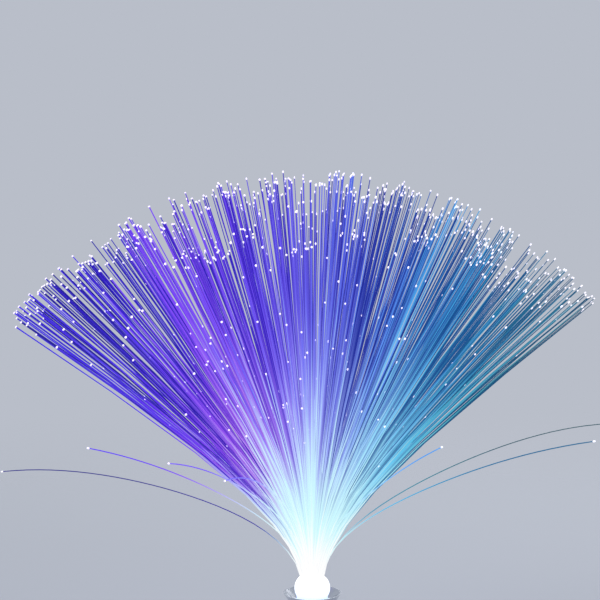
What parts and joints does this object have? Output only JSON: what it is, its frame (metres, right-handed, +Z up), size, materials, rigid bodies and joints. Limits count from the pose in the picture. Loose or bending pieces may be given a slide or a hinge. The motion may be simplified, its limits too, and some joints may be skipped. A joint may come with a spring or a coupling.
{
  "type": "fiber optic lamp",
  "caption": "Table-top fibre optic lamp: a fan of light-guiding strands in a collar that plugs into a bell-shaped battery base.",
  "frame": {"origin": "on the table, under the middle of the base", "axes": "+Z up, +Y to the back where the switch is, +X to the right seen from the front"},
  "size_m": [0.316, 0.3339, 0.3196],
  "materials": {
    "fiber_core": "clear drawn PMMA fibre, lit lilac",
    "fiber_azure": "clear drawn PMMA fibre, lit azure",
    "fiber_violet": "clear drawn PMMA fibre, lit violet blue",
    "fiber_stray": "clear drawn PMMA fibre, dimly lit blue",
    "bundle_root": "potted and polished fibre bundle",
    "sleeve": "drawn tube, satin",
    "collar": "frosted clear acrylic, lit from inside",
    "silver_plastic": "moulded ABS, bright silver plating",
    "black_plastic": "moulded ABS, black",
    "trim_black": "moulded ABS, glossy black",
    "white_plastic": "moulded ABS, white",
    "steel_screws": "zinc plated steel",
    "rubber": "soft rubber",
    "board": "glass-fibre board with green mask",
    "led_red": "clear epoxy, red",
    "led_green": "clear epoxy, green",
    "led_blue": "clear epoxy, blue",
    "chip": "moulded epoxy with tinned legs",
    "resistors": "film resistors on ceramic",
    "cells": null,
    "spring_steel": "nickel plated spring steel",
    "switch_metal": "folded switch can",
    "knob": "moulded ABS, white",
    "lead_red": "PVC insulated lead, red",
    "lead_orange": "PVC insulated lead, orange",
    "lead_black": "PVC insulated lead, black"
  },
  "bodies": {
    "base": {"socket_cup": "silver_plastic", "neck_ring": "trim_black", "socket_nut": "white_plastic", "bell_shell": "silver_plastic", "base_tub": "black_plastic", "tub_screws": "steel_screws", "rubber_feet": "rubber", "led_holder": "white_plastic", "led_board": "board", "led_red": "led_red", "led_green": "led_green", "led_blue": "led_blue", "driver_chip": "chip", "led_resistors": "resistors", "board_screws": "steel_screws", "cell_1": "cells", "cell_2": "cells", "cell_3": "cells", "contact_springs": "spring_steel", "contact_plates": "spring_steel", "switch_body": "switch_metal", "lead_battery": "lead_red", "lead_switch": "lead_orange", "lead_return": "lead_black"},
    "spray": {"fiber_core": "fiber_core", "fiber_tuft_1": "fiber_azure", "fiber_tuft_2": "fiber_violet", "fiber_tuft_3": "fiber_violet", "fiber_tuft_4": "fiber_violet", "fiber_tuft_5": "fiber_violet", "fiber_tuft_6": "fiber_azure", "stray_fibers": "fiber_stray", "bundle_root": "bundle_root", "sleeve": "sleeve", "ball_collar": "collar"},
    "knob": {"switch_knob": "knob"},
    "door": {"battery_door": "black_plastic"}
  },
  "joints": [
    {"name": "spray_lift", "type": "slide", "parent": "base", "child": "spray", "axis": [0, 0, 1], "range_m": [0, 0.055]},
    {"name": "switch_slide", "type": "slide", "parent": "base", "child": "knob", "axis": [1, 0, 0], "range_m": [-0.003, 0]},
    {"name": "battery_door_swing", "type": "hinge", "parent": "base", "child": "door", "pos_m": [0, -0.0255, 0.0032], "axis": [-1, 0, 0], "range_deg": [0, 95]}
  ]
}
